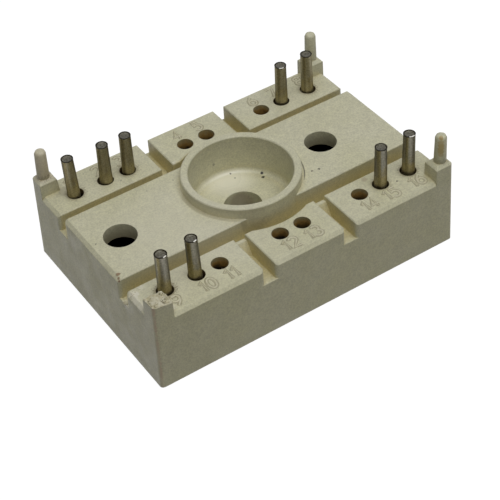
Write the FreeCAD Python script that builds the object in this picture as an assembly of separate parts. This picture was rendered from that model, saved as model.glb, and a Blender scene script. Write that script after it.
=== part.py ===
"""Solder-pin power module with a one-screw moulded housing.

The row frame: the origin is the middle of the face that lies on the heat sink, +X runs
along the long side, +Y towards the row that holds pins 1 to 8, +Z up to the pin tips.
Sizes are in millimetres.
"""
import FreeCAD, Part
import math
import os

Vec = FreeCAD.Vector

# Housing: outline and levels, all heights counted from the heat sink
housing_length = 40.5
housing_width = 28.0
housing_lift = 0.1
wall_draft_deg = 1.12
corner_radius = 0.45
rim_chamfer = 0.4
edge_break = 0.12
block_end_radius = 0.44
deck_height = 9.75
plateau_height = 10.25
groove_floor = 7.5

# Plateau, grooves and slots in the top
plateau_width = 12.4
groove_width = 1.45
slot_width = 1.5
slot_centre = 5.45
ring_channel_radius = 8.5
web_thickness = 0.45
web_drop = 0.65

# Screw bowl in the middle
bowl_outer_radius = 7.05
bowl_inner_radius = 6.13
bowl_rim_height = 11.62
bowl_floor_height = 6.4
bowl_corner_radius = 0.7
bowl_corner_steps = 2
bowl_floor_thickness = 1.8
screw_bore_radius = 2.25
screw_tube_radius = 3.9

# Gel filling ports
port_radius = 1.95
port_left_inset = 4.05
port_right_inset = 9.0

# Pin grid: it mirrors about the middle, with pins 1 to 8 behind and 9 to 16 in front
pin_end_inset = 3.75
pin_side_inset = 4.0
pin_outer_pitch = 4.0
pin_inner_pitch = 3.0
pin_middle_pitch = 3.0
pin_hole_radius = 1.05
empty_positions = [*range(4, 7), *range(11, 15)]

# Solder pins
pin_radius = 0.75
pin_tip_height = 14.95
pin_foot_size = 2.4
pin_foot_thickness = 0.5

# How far each pin tip is bent away from its hole's axis, along X and Y
pin_bends = {
    1: (-0.30, 0.05),
    2: (0.10, -0.20),
    3: (0.10, -0.25),
    7: (0.10, 0.0),
    8: (-0.10, 0.0),
    10: (-0.15, 0.15),
    15: (0.10, 0.10),
    16: (0.15, 0.10),
}

# Locating posts on the corners; the post over pin 9 is broken off
post_block_length = 2.6
post_block_width = 2.4
post_block_height = 11.8
post_block_chamfer = 0.35
post_inset = 1.3
post_radius = 0.68
post_root_flare = 0.035
post_root_height = 0.12
post_tip_radius = 0.42
post_tip_steps = 2
post_height = 15.55
fracture_heights = (11.95, 11.65, 12.1, 12.05)
fracture_dip_height = 11.75

# Inside of the housing
cavity_wall = 1.95
cavity_end_wall = 2.2
side_wall = 1.05
roof_thickness = 2.0
deck_thickness = 1.6
groove_roof_thickness = 1.5

# Substrate stack
substrate_clearance = 0.15
bottom_copper_thickness = 0.3
ceramic_thickness = 0.63
top_copper_thickness = 0.3
bottom_copper_margin = 0.55
top_copper_margin = 0.25
track_gap = 0.8
substrate_hole_radius = 2.6
bottom_copper_hole_radius = 3.0
tube_foot_clearance = 0.5
adhesive_thickness = 0.12
adhesive_inset = 0.05

# Diode chips, their solder and their bond ribbons
chip_size = 5.0
chip_thickness = 0.3
solder_thickness = 0.1
chip_solder_margin = 0.15
pin_solder_margin = 0.15
chip_end_inset = 4.55
chip_track_inset = 0.55
chip_pin_gap = 0.3
ribbon_width = 3.0
ribbon_thickness = 0.25
ribbon_rise_deg = 50.0
ribbon_loop_height = 1.6
ribbon_foot_length = 1.2
ribbon_land_offset = 1.8

# Silicone gel over the circuit
gel_height = 4.2

# Places worked out from the sizes above
substrate_top = bottom_copper_thickness + ceramic_thickness
copper_top = substrate_top + top_copper_thickness
chip_floor = copper_top + solder_thickness
chip_top = chip_floor + chip_thickness
ledge_height = substrate_top + adhesive_thickness
seat_half_x = housing_length / 2 - side_wall
seat_half_y = housing_width / 2 - side_wall
ceramic_half_x = seat_half_x - substrate_clearance
ceramic_half_y = seat_half_y - substrate_clearance
cavity_half_x = housing_length / 2 - cavity_wall
cavity_half_y = housing_width / 2 - cavity_end_wall
copper_half_x = cavity_half_x - top_copper_margin
copper_half_y = cavity_half_y - top_copper_margin
block_edge_y = plateau_width / 2 + groove_width
bowl_underside = bowl_floor_height - bowl_floor_thickness
outer_reach = housing_length
post_x = housing_length / 2 - post_inset
post_y = housing_width / 2 - post_inset
pin_row_y = housing_width / 2 - pin_side_inset
outer_pin_x = housing_length / 2 - pin_end_inset
second_pin_x = outer_pin_x - pin_outer_pitch
third_pin_x = second_pin_x - pin_inner_pitch
chip_pad_half = chip_size / 2 + chip_solder_margin
pin_pad_half = pin_foot_size / 2 + pin_solder_margin
chip_side_x = copper_half_x - chip_end_inset
chip_side_y = track_gap / 2 + chip_track_inset + chip_pad_half
chip_middle_x = third_pin_x - pin_pad_half - chip_pin_gap - chip_pad_half
chip_middle_y = screw_tube_radius + tube_foot_clearance + chip_pad_half


def centred_box(half_x, half_y, z_low, z_high):
    """Return a box centred on the Z axis."""
    return Part.makeBox(2 * half_x, 2 * half_y, z_high - z_low, Vec(-half_x, -half_y, z_low))


def box_between(x_low, x_high, y_low, y_high, z_low, z_high):
    """Return a box between two corners."""
    return Part.makeBox(x_high - x_low, y_high - y_low, z_high - z_low, Vec(x_low, y_low, z_low))


def upright_cylinder(radius, x, y, z_low, z_high):
    """Return a cylinder that stands at x, y."""
    return Part.makeCylinder(radius, z_high - z_low, Vec(x, y, z_low))


def polygon_face(points):
    """Return the flat face inside a closed run of points."""
    return Part.Face(Part.makePolygon(list(points) + [points[0]]))


def turned(profile):
    """Return the solid turned about the Z axis from a profile of radius and height pairs."""
    face = polygon_face([Vec(radius, 0, z) for radius, z in profile])
    return face.revolve(Vec(0, 0, 0), Vec(0, 0, 1), 360)


def corner_run(radius_middle, z_middle, size, start_deg, steps):
    """Return a quarter round of a profile as points on its arc, from an angle on anticlockwise."""
    angles = [math.radians(start_deg + 90 * i / steps) for i in range(steps + 1)]
    return [(radius_middle + size * math.cos(a), z_middle + size * math.sin(a)) for a in angles]


def level_edges(shape, z):
    """Return the edges of a shape that lie flat at one height."""
    near = 1e-4
    return [e for e in shape.Edges if abs(e.BoundBox.ZMin - z) < near and abs(e.BoundBox.ZMax - z) < near]


def prism_between(low_ring, high_ring):
    """Return the solid between two rings of points that run anticlockwise seen from above."""
    count = len(low_ring)
    faces = [polygon_face(low_ring[::-1]), polygon_face(high_ring)]
    for i in range(count):
        j = (i + 1) % count
        faces.append(polygon_face([low_ring[i], low_ring[j], high_ring[j], high_ring[i]]))
    return Part.Solid(Part.Shell(faces))


def drafted_prism(z_top):
    """Return the space between the housing's four drafted walls, up to z_top."""
    shrink = math.tan(math.radians(wall_draft_deg)) * (z_top - housing_lift)
    signs = ((-1, -1), (1, -1), (1, 1), (-1, 1))
    half_x = housing_length / 2
    half_y = housing_width / 2
    low = [Vec(sx * half_x, sy * half_y, housing_lift) for sx, sy in signs]
    high = [Vec(sx * (half_x - shrink), sy * (half_y - shrink), z_top) for sx, sy in signs]
    return prism_between(low, high)


def drafted_block(z_top, chamfer):
    """Return the housing's outer form up to z_top: drafted walls, round corners, chamfered rim."""
    block = drafted_prism(z_top)
    uprights = [e for e in block.Edges if e.BoundBox.ZLength > (z_top - housing_lift) / 2]
    block = block.makeFillet(corner_radius, uprights)
    if chamfer > 0:
        block = block.makeChamfer(chamfer, level_edges(block, z_top))
    return block


def pin_places():
    """Return the x and y of every pin position by its number."""
    half_row = [outer_pin_x, second_pin_x, third_pin_x, pin_middle_pitch / 2]
    row = [-x for x in half_row] + half_row[::-1]
    places = [(x, pin_row_y) for x in row] + [(x, -pin_row_y) for x in row]
    return dict(enumerate(places, 1))


def fitted_places():
    """Return the places of the positions that hold a pin."""
    return {number: place for number, place in pin_places().items() if number not in empty_positions}


def with_round_ends(block, z_top):
    """Return a raised block up to the outer walls, its ends there rounded and its top edges broken."""
    block = block.common(drafted_prism(z_top))
    ends = []
    for edge in block.Edges:
        middle = edge.BoundBox.Center
        at_side = abs(middle.y) > housing_width / 2 - corner_radius
        at_end = abs(middle.x) > housing_length / 2 - corner_radius
        if edge.BoundBox.ZLength > (z_top - groove_floor) / 2 and at_side != at_end:
            ends.append(edge)
    block = block.makeFillet(block_end_radius, ends)
    return block.makeChamfer(edge_break, level_edges(block, z_top))


def pin_blocks():
    """Return the six blocks that guide the pins, three on each side of the plateau."""
    skin = drafted_block(deck_height, rim_chamfer)
    slot_near = slot_centre - slot_width / 2
    slot_far = slot_centre + slot_width / 2
    blocks = []
    for side in (-1, 1):
        y_low, y_high = sorted((side * block_edge_y, side * outer_reach))
        for x_low, x_high in ((-outer_reach, -slot_far), (-slot_near, slot_near), (slot_far, outer_reach)):
            block = box_between(x_low, x_high, y_low, y_high, groove_floor, deck_height)
            if x_low > -outer_reach and x_high < outer_reach:
                channel = upright_cylinder(ring_channel_radius, 0, 0, groove_floor, deck_height)
                block = block.cut(channel)
            blocks.append(with_round_ends(block, deck_height).common(skin))
    return blocks


def slot_webs():
    """Return the thin webs that close the front slots at their inner ends."""
    webs = []
    slot_near = slot_centre - slot_width / 2
    slot_far = slot_centre + slot_width / 2
    for side in (-1, 1):
        x_low, x_high = sorted((side * slot_near, side * slot_far))
        y_near = -block_edge_y
        webs.append(box_between(x_low, x_high, y_near - web_thickness, y_near, groove_floor,
                                deck_height - web_drop))
    return webs


def plateau():
    """Return the raised strip along the middle of the top."""
    half = plateau_width / 2
    strip = box_between(-outer_reach, outer_reach, -half, half, groove_floor, plateau_height)
    return with_round_ends(strip, plateau_height).common(drafted_block(plateau_height, rim_chamfer))


def post_block(side_x, side_y):
    """Return the corner block that carries a locating post, with its chamfered top."""
    x_low, x_high = sorted((side_x * (housing_length / 2 - post_block_length), side_x * outer_reach))
    y_low, y_high = sorted((side_y * (housing_width / 2 - post_block_width), side_y * outer_reach))
    block = box_between(x_low, x_high, y_low, y_high, groove_floor, post_block_height)
    block = block.makeChamfer(post_block_chamfer, level_edges(block, post_block_height))
    return block.common(drafted_block(post_block_height, post_block_chamfer))


def locating_post(side_x, side_y):
    """Return a round post with a rounded tip and a slight flare round its root."""
    root = post_radius + post_root_flare
    tip = corner_run(post_radius - post_tip_radius, post_height - post_tip_radius,
                     post_tip_radius, 0, post_tip_steps)
    post = turned([(0, groove_floor), (root, groove_floor), (root, post_block_height),
                   (post_radius, post_block_height + post_root_height)] + tip + [(0, post_height)])
    post.translate(Vec(side_x * post_x, side_y * post_y, 0))
    return post


def broken_post_block():
    """Return the corner block whose post has snapped off, with its uneven fracture."""
    x_in = -(housing_length / 2 - post_block_length)
    y_in = -(housing_width / 2 - post_block_width)
    x_out = -housing_length / 2
    y_out = -housing_width / 2
    corners = ((x_out, y_out), (x_in, y_out), (x_in, y_in), (x_out, y_in))
    low = [Vec(x, y, groove_floor) for x, y in corners]
    high = [Vec(x, y, z) for (x, y), z in zip(corners, fracture_heights)]
    dip = Vec((x_in + x_out) / 2, (y_in + y_out) / 2, fracture_dip_height)
    faces = [polygon_face(low[::-1])]
    for i in range(len(corners)):
        j = (i + 1) % len(corners)
        faces.append(polygon_face([low[i], low[j], high[j], high[i]]))
        faces.append(polygon_face([high[i], high[j], dip]))
    stub = Part.Solid(Part.Shell(faces))
    return stub.common(drafted_block(max(fracture_heights), 0))


def screw_bowl():
    """Return the bowl's outer wall, with its tube down to the ceramic."""
    wall = upright_cylinder(bowl_outer_radius, 0, 0, bowl_underside, bowl_rim_height)
    wall = wall.makeChamfer(edge_break, level_edges(wall, bowl_rim_height))
    tube = upright_cylinder(screw_tube_radius, 0, 0, substrate_top, bowl_floor_height)
    return wall.fuse(tube)


def bowl_hollow():
    """Return the space inside the bowl: its round floor corner, its mouth and the screw bore."""
    corner = corner_run(bowl_inner_radius - bowl_corner_radius, bowl_floor_height + bowl_corner_radius,
                        bowl_corner_radius, -90, bowl_corner_steps)
    mouth_radius = bowl_inner_radius + edge_break
    well = turned([(0, bowl_floor_height)] + corner + [(bowl_inner_radius, bowl_rim_height - edge_break),
                  (mouth_radius, bowl_rim_height), (mouth_radius, post_height), (0, post_height)])
    return well.fuse(upright_cylinder(screw_bore_radius, 0, 0, 0, post_height))


def housing_inside():
    """Return the space under the roof, with the seat for the substrate."""
    seat = centred_box(seat_half_x, seat_half_y, 0, ledge_height)
    groove_ceiling = groove_floor - groove_roof_thickness
    hall = centred_box(cavity_half_x, cavity_half_y, ledge_height, groove_ceiling)
    plateau_half = plateau_width / 2 - groove_roof_thickness
    attic = centred_box(cavity_half_x, plateau_half, groove_ceiling, plateau_height - roof_thickness)
    space = seat.multiFuse([hall, attic])
    slot_near = slot_centre - slot_width / 2 - groove_roof_thickness
    slot_far = slot_centre + slot_width / 2 + groove_roof_thickness
    ring = upright_cylinder(ring_channel_radius + groove_roof_thickness, 0, 0, groove_ceiling, deck_height)
    for side in (-1, 1):
        y_low, y_high = sorted((side * (block_edge_y + groove_roof_thickness), side * cavity_half_y))
        for x_low, x_high in ((-cavity_half_x, -slot_far), (-slot_near, slot_near), (slot_far, cavity_half_x)):
            pocket = box_between(x_low, x_high, y_low, y_high, groove_ceiling, deck_height - deck_thickness)
            space = space.fuse(pocket.cut(ring))
    return space


def housing():
    """Return the moulded housing."""
    body = drafted_block(groove_floor, 0)
    raised = pin_blocks() + slot_webs() + [plateau(), broken_post_block()]
    for side_x, side_y in ((1, -1), (1, 1), (-1, 1)):
        raised += [post_block(side_x, side_y), locating_post(side_x, side_y)]
    body = body.multiFuse(raised)
    body = body.cut(housing_inside())
    body = body.fuse(screw_bowl())
    holes = [bowl_hollow()]
    groove_ceiling = groove_floor - groove_roof_thickness
    for x in (port_left_inset - housing_length / 2, housing_length / 2 - port_right_inset):
        holes.append(upright_cylinder(port_radius, x, 0, groove_ceiling, post_height))
    for x, y in pin_places().values():
        holes.append(upright_cylinder(pin_hole_radius, x, y, groove_ceiling, post_height))
    return body.cut(Part.makeCompound(holes)).removeSplitter()


def adhesive_seal():
    """Return the bead that bonds the ceramic to the housing's ledge."""
    outer = centred_box(ceramic_half_x - adhesive_inset, ceramic_half_y - adhesive_inset,
                        substrate_top, ledge_height)
    inner = centred_box(cavity_half_x + adhesive_inset, cavity_half_y + adhesive_inset,
                        substrate_top, ledge_height)
    return outer.cut(inner)


def ceramic_substrate():
    """Return the ceramic plate with its screw hole."""
    plate = centred_box(ceramic_half_x, ceramic_half_y, bottom_copper_thickness, substrate_top)
    return plate.cut(upright_cylinder(substrate_hole_radius, 0, 0, 0, copper_top))


def bottom_copper():
    """Return the copper layer that lies on the heat sink."""
    layer = centred_box(ceramic_half_x - bottom_copper_margin, ceramic_half_y - bottom_copper_margin,
                        0, bottom_copper_thickness)
    return layer.cut(upright_cylinder(bottom_copper_hole_radius, 0, 0, 0, bottom_copper_thickness))


def copper_track(side_x, side_y):
    """Return one quarter of the top copper, clear of the screw tube's foot."""
    x_low, x_high = sorted((side_x * track_gap / 2, side_x * copper_half_x))
    y_low, y_high = sorted((side_y * track_gap / 2, side_y * copper_half_y))
    track = box_between(x_low, x_high, y_low, y_high, substrate_top, copper_top)
    foot_room = upright_cylinder(screw_tube_radius + tube_foot_clearance, 0, 0, substrate_top, copper_top)
    return track.cut(foot_room)


def chip_places():
    """Return each chip's centre and the direction in which its ribbons leave."""
    return {
        "positive_left": (-chip_middle_x, chip_middle_y, Vec(1, 0, 0)),
        "positive_front": (-chip_side_x, chip_side_y, Vec(0, -1, 0)),
        "negative_right": (chip_side_x, chip_side_y, Vec(0, -1, 0)),
        "negative_front": (-chip_middle_x, -chip_middle_y, Vec(1, 0, 0)),
    }


def diode_chip(place):
    """Return one diode chip."""
    x, y, _ = place
    half = chip_size / 2
    return box_between(x - half, x + half, y - half, y + half, chip_floor, chip_top)


def chip_solder():
    """Return the solder layers under the chips."""
    half = chip_pad_half
    layers = []
    for x, y, _ in chip_places().values():
        layers.append(box_between(x - half, x + half, y - half, y + half, copper_top, chip_floor))
    return Part.makeCompound(layers)


def bond_ribbon(place):
    """Return the folded ribbon from a chip's top down to the neighbouring track."""
    x, y, heading = place
    rise = math.radians(ribbon_rise_deg)
    loop_top = chip_top + ribbon_loop_height
    span = abs(x * heading.x + y * heading.y) + ribbon_land_offset
    climb = (loop_top - chip_top) / math.tan(rise)
    descent = (loop_top - copper_top) / math.tan(rise)
    mitre = ribbon_thickness * math.tan(rise / 2)
    under = [(-ribbon_foot_length, chip_top), (0, chip_top), (climb, loop_top),
             (span - descent, loop_top), (span, copper_top), (span + ribbon_foot_length, copper_top)]
    shifts = (0, -mitre, -mitre, mitre, mitre, 0)
    over = [(along + shift, z + ribbon_thickness) for (along, z), shift in zip(under, shifts)]
    across = Vec(-heading.y, heading.x, 0) * ribbon_width
    side = [Vec(x, y, z) + heading * along - across / 2 for along, z in under + over[::-1]]
    return polygon_face(side).extrude(across)


def solder_pin(place, bend):
    """Return one pin: its foot on the solder and its shank, bent a little as found."""
    x, y = place
    foot_top = chip_floor + pin_foot_thickness
    half = pin_foot_size / 2
    foot = box_between(x - half, x + half, y - half, y + half, chip_floor, foot_top)
    shank = upright_cylinder(pin_radius, x, y, chip_floor + pin_foot_thickness / 2, pin_tip_height)
    bend_x, bend_y = bend
    length = pin_tip_height - foot_top
    lean = math.degrees(math.atan2(math.hypot(bend_x, bend_y), length))
    if lean > 0:
        shank.rotate(Vec(x, y, foot_top), Vec(-bend_y, bend_x, 0), lean)
    return shank.fuse(foot).removeSplitter()


def pin_solder():
    """Return the square solder pads under the pins."""
    half = pin_pad_half
    pads = []
    for x, y in fitted_places().values():
        pads.append(box_between(x - half, x + half, y - half, y + half, copper_top, chip_floor))
    return Part.makeCompound(pads)


def gel_fill(others):
    """Return the silicone gel: the space over the substrate up to the gel level, less what it covers."""
    pool = centred_box(cavity_half_x, cavity_half_y, substrate_top, gel_height)
    pool = pool.cut(upright_cylinder(screw_tube_radius, 0, 0, substrate_top, gel_height))
    return pool.cut(Part.makeCompound(others))


def build():
    """Return every piece by its node name."""
    pieces = {
        "housing": housing(),
        "adhesive_seal": adhesive_seal(),
        "ceramic_substrate": ceramic_substrate(),
        "bottom_copper": bottom_copper(),
        "track_positive": copper_track(-1, 1),
        "track_ac_right": copper_track(1, 1),
        "track_ac_front": copper_track(-1, -1),
        "track_negative": copper_track(1, -1),
        "chip_solder": chip_solder(),
        "pin_solder": pin_solder(),
    }
    for name, place in chip_places().items():
        pieces["diode_" + name] = diode_chip(place)
        pieces["bond_ribbon_" + name] = bond_ribbon(place)
    for number, place in fitted_places().items():
        pieces[f"pin_{number:02d}"] = solder_pin(place, pin_bends.get(number, (0.0, 0.0)))
    buried = [shape for name, shape in pieces.items() if name not in ("ceramic_substrate", "bottom_copper")]
    pieces["gel_fill"] = gel_fill(buried)
    return pieces


def main():
    """Write one STEP file for each piece."""
    os.makedirs("parts", exist_ok=True)
    for name, shape in build().items():
        shape.exportStep(f"parts/{name}.step")
        print(f"{name}: {len(shape.Solids)} solids, {shape.Volume:.2f} mm3, valid {shape.isValid()}")


main()
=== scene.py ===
"""Dresses a one-screw solder-pin power module: finishes, pin numbers, rough fracture, studio."""

from __future__ import annotations

import logging
import math
import random
from dataclasses import dataclass, field
from enum import Enum

import bmesh
import bpy
from bmesh.types import BMesh, BMFace
from bpy.types import Material, Mesh, Node, NodeSocket, Object, World
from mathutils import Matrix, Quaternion, Vector, noise

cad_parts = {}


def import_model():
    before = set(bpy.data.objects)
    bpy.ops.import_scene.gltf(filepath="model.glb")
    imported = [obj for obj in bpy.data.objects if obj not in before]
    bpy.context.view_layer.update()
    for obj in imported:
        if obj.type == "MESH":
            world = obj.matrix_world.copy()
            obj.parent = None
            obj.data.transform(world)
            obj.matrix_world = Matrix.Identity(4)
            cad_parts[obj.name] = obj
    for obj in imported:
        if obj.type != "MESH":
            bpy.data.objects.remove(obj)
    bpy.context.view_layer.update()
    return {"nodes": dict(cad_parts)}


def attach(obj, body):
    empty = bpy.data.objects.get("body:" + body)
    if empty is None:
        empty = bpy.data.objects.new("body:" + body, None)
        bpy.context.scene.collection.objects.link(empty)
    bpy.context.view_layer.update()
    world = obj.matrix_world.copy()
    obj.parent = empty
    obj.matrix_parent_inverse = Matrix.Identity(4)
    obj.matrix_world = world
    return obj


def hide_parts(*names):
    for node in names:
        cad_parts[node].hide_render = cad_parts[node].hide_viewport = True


LOG = logging.getLogger("power_module")
MM = 0.001
# A mark fades out between these shares of its radius.
MARK_OUTER = 1.15
MARK_INNER = 0.65


def linear(hex_code: str) -> tuple[float, float, float, float]:
    """Turn an sRGB hex colour into linear light.

    Args:
        hex_code: a hash and six hex digits.

    Returns:
        Red, green, blue and an alpha of one, for a colour socket.
    """
    shares = [int(hex_code[i:i + 2], 16) / 255 for i in (1, 3, 5)]
    red, green, blue = [s / 12.92 if s <= 0.04045 else ((s + 0.055) / 1.055) ** 2.4 for s in shares]
    return red, green, blue, 1.0


class Slot(Enum):
    """Names of the record's material slots."""

    PLASTIC = "housing_plastic"
    TIN = "tinned_copper"


@dataclass(frozen=True)
class Mark:
    """A speck, stain, scuff or patch of painted light or shade on the moulding, at a place in millimetres.
    """

    x: float
    y: float
    z: float
    radius: float
    strength: float

    @property
    def outer(self) -> float:
        """Give the radius beyond which nothing of the mark shows."""
        return self.radius * MARK_OUTER

    @property
    def inner(self) -> float:
        """Give the radius within which the mark has its full strength."""
        return self.radius * MARK_INNER


@dataclass(frozen=True)
class DirtRing:
    """Grime round the edge of a pin hole or the root of a post, in millimetres."""

    x: float
    y: float
    strength: float
    z: float = 9.75
    inner: float = 1.0
    outer: float = 1.5


@dataclass(frozen=True)
class FootShade:
    """A line of painted shade along the bowl's foot: its circle, the middle of its run and its reach."""

    centre: tuple[float, float, float]
    radius: float
    middle: tuple[float, float, float]
    reach: float
    half_width: float
    strength: float
    fading: float = 1.4
    core_share: float = 0.4


@dataclass(frozen=True)
class Round:
    """An upright round zone whose edges are shaded smooth, in millimetres."""

    x: float
    y: float
    radius: float
    low: float
    high: float

    def holds(self, place: Vector) -> bool:
        """Tell whether a place in metres lies in the zone."""
        near = math.hypot(place.x - self.x * MM, place.y - self.y * MM) < self.radius * MM
        return near and self.low * MM < place.z < self.high * MM


# Painted shade along the bowl's foot, on the right and on the left and front.
RIGHT_FOOT = FootShade((0.35, 0.25, 10.25), 7.16, (7.4, -2.0, 10.25), 3.6, 0.1, 0.75)
LEFT_FOOT = FootShade((0.0, 0.0, 10.25), 7.3, (-5.9, -4.0, 10.25), 6.4, 0.3, 0.3)
DARK_SPECKS = (
    Mark(7.28, -3.84, 10.25, 0.13, 0.85),
    Mark(8.13, -4.04, 10.25, 0.15, 0.9),
    Mark(-19.07, 0.42, 10.25, 0.12, 0.7),
    Mark(-9.9, 4.8, 10.25, 0.1, 0.55),
    Mark(-6.5, 4.6, 10.25, 0.1, 0.5),
    Mark(-6.06, -11.2, 9.75, 0.13, 0.8),
    Mark(14.3, -10.74, 9.75, 0.11, 0.8),
    Mark(-11.1, 8.8, 9.75, 0.1, 0.5),
    Mark(-14.0, 12.55, 9.75, 0.1, 0.5),
    Mark(15.6, -9.24, 9.75, 0.1, 0.5),
    Mark(4.83, 3.19, 6.55, 0.21, 1.0),
    Mark(4.61, 2.63, 6.4, 0.21, 1.0),
    Mark(1.77, 5.44, 6.52, 0.13, 0.8),
    Mark(1.82, 4.53, 6.4, 0.13, 0.8),
    Mark(-0.04, 6.13, 8.38, 0.2, 0.45),
)
BROWN_STAINS_AND_SHADE = (
    Mark(-19.52, -5.3, 10.25, 0.28, 0.85),
    Mark(-19.85, -5.75, 10.2, 0.22, 0.8),
    Mark(-20.02, -6.1, 10.1, 0.28, 0.85),
    # Painted shadow of the front pin beside it.
    Mark(11.5, -8.24, 9.75, 0.4, 0.35),
    # Painted shade on the far wall of the screw bore.
    Mark(0.9, 2.0, 4.6, 1.8, 0.4),
    Mark(18.61, -13.09, 15.44, 0.16, 0.5),
)
# Painted shade inside the two ports, darker lower down, and a painted shadow behind the back left pin.
PAINTED_PORT_AND_PIN_SHADE = (
    Mark(-16.2, 0.0, 8.4, 2.3, 0.95),
    Mark(11.25, 0.0, 8.4, 2.3, 0.95),
    Mark(-17.3, 11.1, 9.75, 0.9, 0.35),
)
WARM_MARKS = (Mark(-18.95, 12.7, 13.6, 2.4, 0.3),)
# A painted pool of light over the front left of the top surfaces.
PAINTED_LIGHT_POOL = (Mark(-10.0, -5.0, 18.0, 12.0, 0.27),)
OCHRE_MARKS = (
    Mark(18.61, -13.09, 15.44, 0.3, 0.8),
    Mark(18.55, -13.2, 14.8, 0.4, 0.6),
    Mark(18.54, -13.24, 14.4, 0.4, 0.75),
    Mark(18.54, -13.24, 14.0, 0.4, 0.75),
    Mark(18.54, -13.26, 13.6, 0.4, 0.7),
    Mark(18.54, -13.28, 13.2, 0.36, 0.55),
)
TORN_MARKS = (
    Mark(-19.5, -8.5, 9.75, 0.6, 0.8),
    Mark(-19.85, -9.4, 9.6, 0.6, 0.7),
    Mark(-19.9, -10.5, 9.5, 0.6, 0.7),
    Mark(-18.3, -8.1, 9.75, 0.4, 0.5),
    Mark(-20.0, -7.3, 7.6, 0.7, 0.9),
    Mark(-17.3, -12.6, 9.9, 0.5, 0.6),
    Mark(-4.45, 7.77, 9.75, 0.35, 0.5),
)
DIRT_RINGS = (
    DirtRing(-16.5, 10.0, 0.5),
    DirtRing(-9.5, 10.0, 0.45),
    DirtRing(16.5, 10.0, 0.45),
    DirtRing(-16.5, -10.0, 0.7),
    DirtRing(12.5, -10.0, 0.3),
    DirtRing(16.5, -10.0, 0.55),
    DirtRing(18.95, -12.7, 0.35, 11.8, 0.74, 1.0),
    DirtRing(-18.95, 12.7, 0.5, 11.8, 0.74, 0.95),
)


class Nodes:
    """The node tree of a material or of the world."""

    def __init__(self, owner: Material | World) -> None:
        """Give the owner an empty node tree.

        Args:
            owner: the material or the world.
        """
        owner.use_nodes = True
        self.tree = owner.node_tree
        self.tree.nodes.clear()

    def add(self, kind: str, sockets: dict[str | int, object], **settings: object) -> Node:
        """Add a node, set it up and link it.

        Args:
            kind: the node's type name without its leading ShaderNode.
            sockets: input names or numbers, each with a value or with the output that feeds it.
            settings: property names with their values.

        Returns:
            The new node.
        """
        node = self.tree.nodes.new("ShaderNode" + kind)
        for name, value in settings.items():
            setattr(node, name, value)
        for key, value in sockets.items():
            if isinstance(value, NodeSocket):
                self.tree.links.new(value, node.inputs[key])
            else:
                node.inputs[key].default_value = value
        return node

    def seen_rays(self) -> NodeSocket:
        """Tell the rays that look at the backdrop from those that light the object.

        Returns:
            An output of one for camera, glossy and transmission rays, and nought for the rest.
        """
        path = self.add("LightPath", {}).outputs
        some = self.add("Math", {0: path["Is Camera Ray"], 1: path["Is Glossy Ray"]}, operation="ADD")
        rays = {0: some.outputs[0], 1: path["Is Transmission Ray"]}
        return self.add("Math", rays, operation="ADD", use_clamp=True).outputs[0]


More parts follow.
